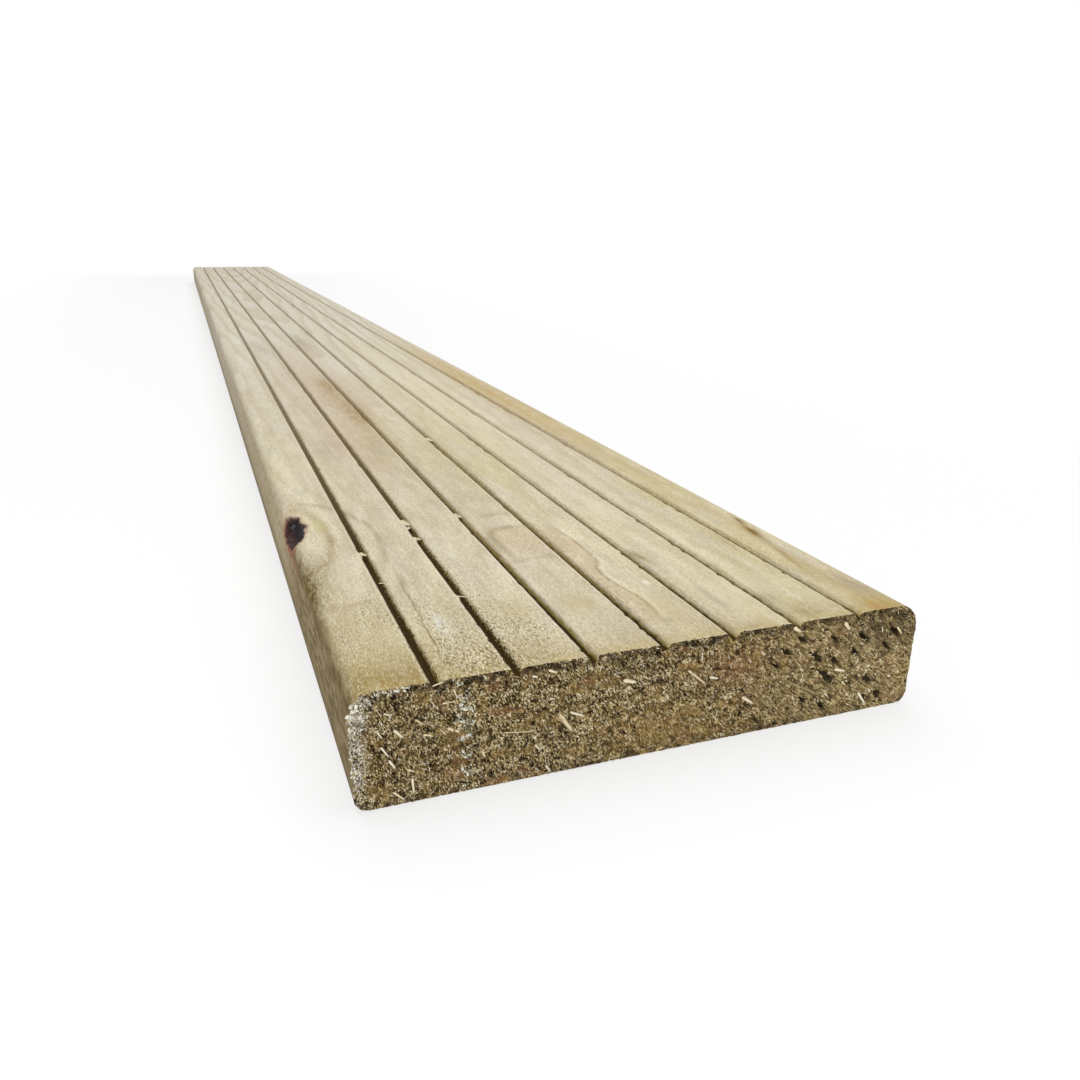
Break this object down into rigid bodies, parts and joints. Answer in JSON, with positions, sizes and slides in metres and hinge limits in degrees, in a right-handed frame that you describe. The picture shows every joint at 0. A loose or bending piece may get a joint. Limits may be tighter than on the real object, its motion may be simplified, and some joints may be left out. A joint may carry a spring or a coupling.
{
  "type": "decking board",
  "caption": "Flat softwood decking board with rounded edges and narrow lengthwise anti-slip grooves in its walking face, laid across joists to make a deck.",
  "frame": {"origin": "middle of the underside, the face that rests on the joists", "axes": "+X across the width, +Y along the length, +Z out of the grooved walking face"},
  "size_m": [0.145, 1.8, 0.028],
  "materials": {
    "treated_softwood": "matte"
  },
  "bodies": {
    "root": {"decking_board": "treated_softwood"}
  },
  "joints": []
}
